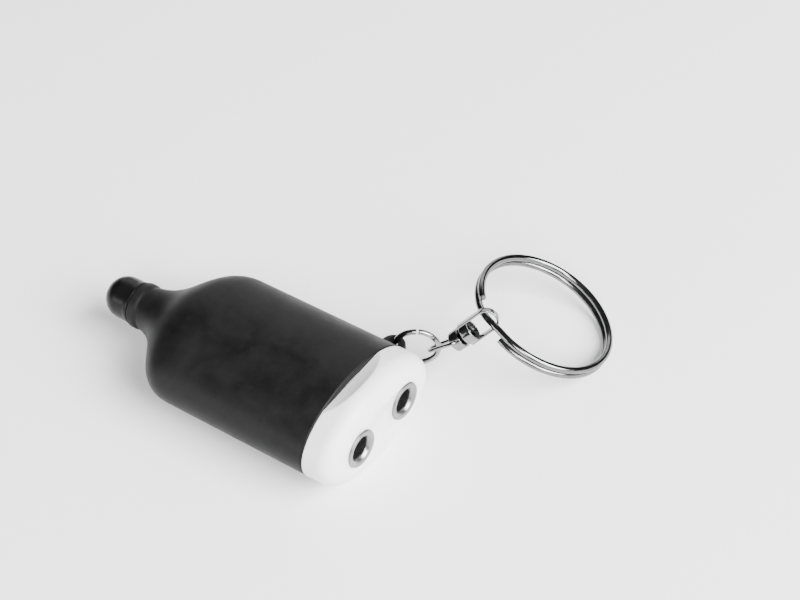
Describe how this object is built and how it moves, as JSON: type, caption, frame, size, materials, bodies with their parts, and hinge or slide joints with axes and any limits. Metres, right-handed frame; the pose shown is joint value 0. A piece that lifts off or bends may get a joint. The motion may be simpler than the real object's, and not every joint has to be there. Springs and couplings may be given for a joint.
{
  "type": "keychain headphone splitter",
  "caption": "Flask-shaped rubber sleeve with a stylus nib, a pull-out white core with two audio sockets and a plug, and a swivel chain with a split ring.",
  "frame": {"origin": "centre of the plug's shoulder face, on the plug's axis", "axes": "+X from the plug towards the two sockets, +Y towards the lug and chain, +Z out of a broad side"},
  "size_m": [0.072, 0.0557, 0.0152],
  "materials": {
    "sleeve_rubber": "matt moulded, faint mottling",
    "nib_rubber": "smooth, slightly glossy",
    "stem_steel": "turned",
    "cap_plastic": "soft satin white",
    "shell_plastic": "moulded, satin",
    "board": "lacquered circuit board",
    "contact_metal": "thin plated spring strip",
    "bushing_metal": "satin nickel, turned",
    "black_plastic": "moulded, matt",
    "plug_metal": "bright nickel, turned",
    "chain_nickel": "bright nickel, fine scratches",
    "ring_steel": "polished nickel on spring steel, fine scratches"
  },
  "bodies": {
    "sleeve": {"rubber_sleeve": "sleeve_rubber", "stylus_nib": "nib_rubber", "nib_stem": "stem_steel"},
    "core": {"end_cap": "cap_plastic", "upper_shell": "shell_plastic", "lower_shell": "shell_plastic", "circuit_board": "board", "ground_plate": "contact_metal", "socket_bushing_left": "bushing_metal", "socket_bushing_right": "bushing_metal", "socket_body_left": "black_plastic", "socket_body_right": "black_plastic", "tip_spring_left": "contact_metal", "tip_spring_right": "contact_metal", "ring_spring_left": "contact_metal", "ring_spring_right": "contact_metal", "plug_sleeve": "plug_metal", "plug_ring": "plug_metal", "plug_tip": "plug_metal", "rear_insulator": "black_plastic", "front_insulator": "black_plastic", "sleeve_tag": "contact_metal", "ring_tag": "contact_metal", "tip_tag": "contact_metal"},
    "jump_link": {"jump_ring": "chain_nickel"},
    "eye": {"swivel_eye": "chain_nickel"},
    "lower_swivel": {"swivel_cup": "chain_nickel", "swivel_rivet": "chain_nickel"},
    "upper_swivel": {"swivel_collar": "chain_nickel", "swivel_bail": "chain_nickel"},
    "key_ring": {"split_ring": "ring_steel"}
  },
  "joints": [
    {"name": "core_pull", "type": "slide", "parent": "sleeve", "child": "core", "axis": [1, 0, 0], "range_m": [0, 0.06]},
    {"name": "jump_swing", "type": "hinge", "parent": "sleeve", "child": "jump_link", "pos_m": [0.0233, 0.0139, 0], "axis": [0, 0, 1], "range_deg": [-25, 100]},
    {"name": "eye_slide", "type": "hinge", "parent": "jump_link", "child": "eye", "pos_m": [0.02605, 0.01575, -0.00076], "axis": [0.5592, -0.829, 0], "range_deg": [-75, 55]},
    {"name": "cup_tilt", "type": "hinge", "parent": "eye", "child": "lower_swivel", "pos_m": [0.03148, 0.01925, 0.0007], "axis": [-0.2218, 0.8311, -0.51], "range_deg": [-40, 60]},
    {"name": "swivel_spin", "type": "hinge", "parent": "lower_swivel", "child": "upper_swivel", "pos_m": [0.03148, 0.01925, 0.0007], "axis": [0.5896, 0.5309, 0.6088], "continuous": true},
    {"name": "ring_flip", "type": "hinge", "parent": "upper_swivel", "child": "key_ring", "pos_m": [0.03502, 0.02243, 0.00435], "axis": [0.8394, -0.4976, -0.2185], "range_deg": [-15, 60]}
  ]
}
